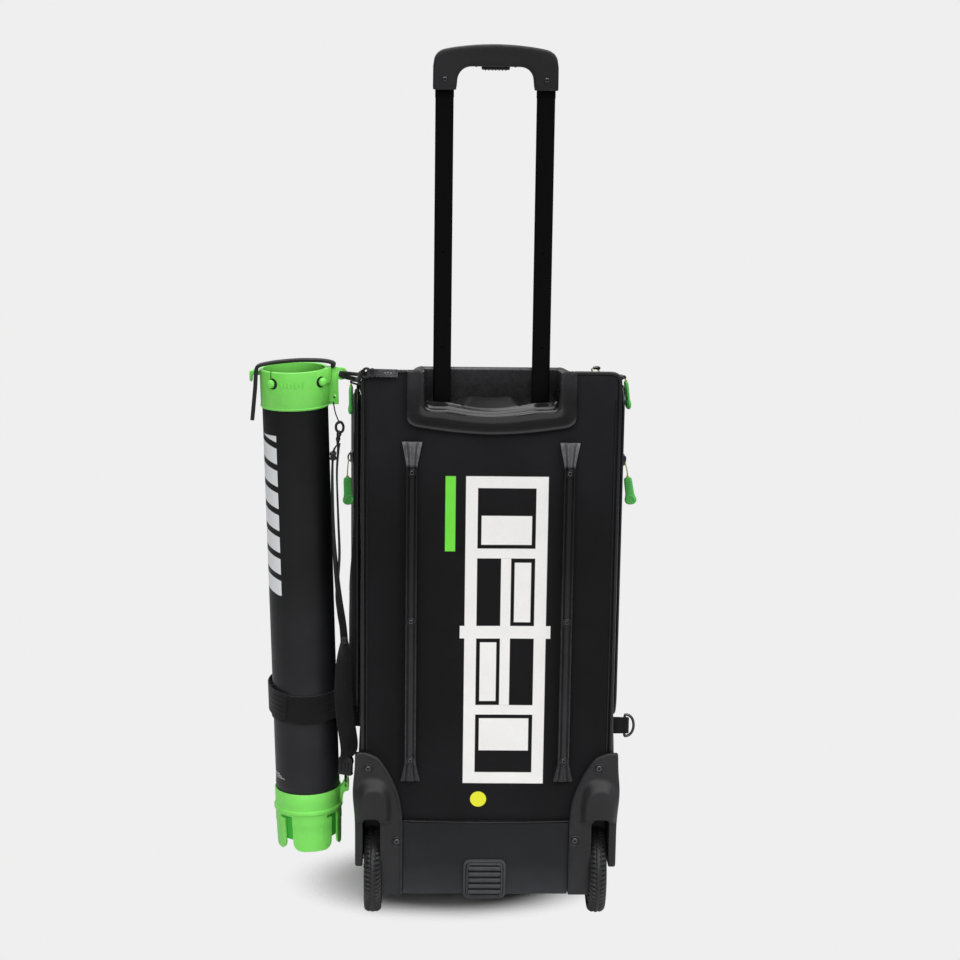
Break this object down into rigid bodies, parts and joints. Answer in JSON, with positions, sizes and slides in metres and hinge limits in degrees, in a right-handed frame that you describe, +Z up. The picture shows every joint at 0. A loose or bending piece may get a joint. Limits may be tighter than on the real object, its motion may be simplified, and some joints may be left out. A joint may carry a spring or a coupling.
{
  "type": "tennis ball machine",
  "caption": "Ball launcher built into an upright two-wheeled trolley bag with a telescopic handle and a ball pick-up tube strapped to its left side.",
  "frame": {"origin": "middle of the whole object's footprint, on the ground", "axes": "+Z up; +Y is the direction of throw, so the trolley side with the wheels faces -Y; +X is to the right seen from the trolley side, and the pick-up tube is on the -X side"},
  "size_m": [0.5084, 0.3514, 1.1347],
  "materials": {
    "black_fabric": "woven, matt",
    "black_vinyl": "smooth coated cloth",
    "black_plastic": "fine moulded grain",
    "grey_plastic": "moulded",
    "green_plastic": "satin",
    "green_rubber": "matt",
    "tyre_rubber": "moulded tread",
    "black_webbing": "woven webbing",
    "anodised_black": "black anodised",
    "tube_black": "satin",
    "steel": "plated",
    "dark_steel": "black",
    "foam_grey": "foamed rubber",
    "battery_grey": "moulded",
    "board_green": "circuit board"
  },
  "bodies": {
    "bag": {"fabric_body": "black_fabric", "rear_panel": "black_fabric", "rear_skirt": "black_vinyl", "side_pocket_left": "black_fabric", "side_pocket_right": "black_fabric", "base_tray": "black_plastic", "front_foot_left": "tyre_rubber", "front_foot_right": "tyre_rubber", "rear_grip_foot": "grey_plastic", "skid_rail_left": "black_plastic", "skid_rail_right": "black_plastic", "trolley_bezel": "black_plastic", "trolley_channel_left": "steel", "trolley_channel_right": "steel", "wheel_housing_left": "black_plastic", "wheel_housing_right": "black_plastic", "axle_left": "steel", "axle_right": "steel", "launcher_frame": "grey_plastic", "front_fascia": "black_plastic", "hopper_funnel": "grey_plastic", "feed_motor": "dark_steel", "battery_pack": "battery_grey", "control_board": "board_green", "tube_dock": "black_webbing", "dring_tab": "black_webbing"},
    "trolley": {"trolley_tube_left": "anodised_black", "trolley_tube_right": "anodised_black", "trolley_grip": "black_plastic"},
    "release_button": {"trolley_button": "black_plastic"},
    "wheel_left": {"tyre_left": "tyre_rubber", "rim_left": "grey_plastic"},
    "wheel_right": {"tyre_right": "tyre_rubber", "rim_right": "grey_plastic"},
    "lid": {"top_lid": "black_fabric"},
    "flap": {"front_flap": "black_fabric", "flap_pocket": "black_fabric"},
    "head": {"head_frame": "black_plastic", "throw_motor_left": "dark_steel", "throw_motor_right": "dark_steel"},
    "thrower_left": {"throw_wheel_left": "foam_grey"},
    "thrower_right": {"throw_wheel_right": "foam_grey"},
    "feeder": {"feed_rotor": "green_plastic"},
    "speed": {"speed_knob": "green_plastic"},
    "frequency": {"frequency_knob": "green_plastic"},
    "elevation": {"elevation_knob": "green_plastic"},
    "power": {"power_button": "green_plastic"},
    "ring": {"dring": "dark_steel"},
    "pull_left_upper": {"zip_pull_left_upper": "green_rubber"},
    "pull_left_lower": {"zip_pull_left_lower": "green_rubber"},
    "pull_right_upper": {"zip_pull_right_upper": "green_rubber"},
    "pull_right_lower": {"zip_pull_right_lower": "green_rubber"},
    "pickup_tube": {"tube_inner": "tube_black", "tube_collector": "green_plastic", "cinch_strap": "black_webbing", "shoulder_strap": "black_webbing"},
    "tube_sleeve": {"tube_barrel": "tube_black", "tube_collar": "green_plastic", "hanger_strap": "black_webbing"},
    "retainer": {"retainer_strap": "black_webbing"}
  },
  "joints": [
    {"name": "trolley_slide", "type": "slide", "parent": "bag", "child": "trolley", "axis": [0, 0, 1], "range_m": [-0.39, 0]},
    {"name": "release_press", "type": "slide", "parent": "trolley", "child": "release_button", "axis": [0, 0, 1], "range_m": [0, 0.003], "stiffness_N_per_m": 300, "springref_m": -0.002},
    {"name": "wheel_left_spin", "type": "hinge", "parent": "bag", "child": "wheel_left", "pos_m": [-0.0887, -0.1113, 0.058], "axis": [1, 0, 0], "continuous": true},
    {"name": "wheel_right_spin", "type": "hinge", "parent": "bag", "child": "wheel_right", "pos_m": [0.2037, -0.1113, 0.058], "axis": [1, 0, 0], "continuous": true},
    {"name": "lid_open", "type": "hinge", "parent": "bag", "child": "lid", "pos_m": [0.0575, -0.06843, 0.72126], "axis": [1, 0, 0], "range_deg": [0, 100]},
    {"name": "flap_open", "type": "hinge", "parent": "bag", "child": "flap", "pos_m": [-0.0795, 0.1617, 0.4175], "axis": [0, 0, 1], "range_deg": [0, 120]},
    {"name": "head_tilt", "type": "hinge", "parent": "bag", "child": "head", "pos_m": [0.0575, -0.0343, 0.31], "axis": [1, 0, 0], "range_deg": [0, 30]},
    {"name": "throw_left_spin", "type": "hinge", "parent": "head", "child": "thrower_left", "pos_m": [-0.027, 0.0487, 0.31], "axis": [0, 0, 1], "continuous": true},
    {"name": "throw_right_spin", "type": "hinge", "parent": "head", "child": "thrower_right", "pos_m": [0.142, 0.0487, 0.31], "axis": [0, 0, 1], "continuous": true},
    {"name": "feed_spin", "type": "hinge", "parent": "bag", "child": "feeder", "pos_m": [0.0575, 0.0157, 0.454], "axis": [0, 0, 1], "continuous": true},
    {"name": "speed_turn", "type": "hinge", "parent": "bag", "child": "speed", "pos_m": [-0.0125, 0.1357, 0.53], "axis": [0, 1, 0], "range_deg": [0, 270]},
    {"name": "frequency_turn", "type": "hinge", "parent": "bag", "child": "frequency", "pos_m": [0.1275, 0.1357, 0.53], "axis": [0, 1, 0], "range_deg": [0, 270]},
    {"name": "elevation_turn", "type": "hinge", "parent": "bag", "child": "elevation", "pos_m": [0.1525, 0.1357, 0.35], "axis": [0, 1, 0], "range_deg": [0, 270]},
    {"name": "power_press", "type": "slide", "parent": "bag", "child": "power", "axis": [0, -1, 0], "range_m": [0, 0.0015], "stiffness_N_per_m": 300, "springref_m": -0.002},
    {"name": "ring_swing", "type": "hinge", "parent": "bag", "child": "ring", "pos_m": [0.241, -0.0963, 0.253], "axis": [0, 0, 1], "range_deg": [-60, 60]},
    {"name": "pull_left_upper_swing", "type": "hinge", "parent": "bag", "child": "pull_left_upper", "pos_m": [-0.1236, -0.1083, 0.713], "axis": [1, 0, 0], "range_deg": [-32, 32]},
    {"name": "pull_left_lower_swing", "type": "hinge", "parent": "bag", "child": "pull_left_lower", "pos_m": [-0.124, -0.0963, 0.61], "axis": [1, 0, 0], "range_deg": [-32, 32]},
    {"name": "pull_right_upper_swing", "type": "hinge", "parent": "bag", "child": "pull_right_upper", "pos_m": [0.2387, -0.0913, 0.72], "axis": [1, 0, 0], "range_deg": [-32, 32]},
    {"name": "pull_right_lower_swing", "type": "hinge", "parent": "bag", "child": "pull_right_lower", "pos_m": [0.2405, -0.0963, 0.608], "axis": [1, 0, 0], "range_deg": [-32, 32]},
    {"name": "tube_unclip", "type": "slide", "parent": "bag", "child": "pickup_tube", "axis": [-1, 0, 0], "range_m": [0, 0.25]},
    {"name": "tube_extend", "type": "slide", "parent": "pickup_tube", "child": "tube_sleeve", "axis": [-0.027, 0, 0.9996], "range_m": [0, 0.4]},
    {"name": "retainer_open", "type": "hinge", "parent": "tube_sleeve", "child": "retainer", "pos_m": [-0.14199, -0.0843, 0.73216], "axis": [0, 1, 0], "range_deg": [0, 110]}
  ],
  "couplings": [
    {"joint": "elevation_turn", "follows": "head_tilt", "ratio": 9}
  ]
}
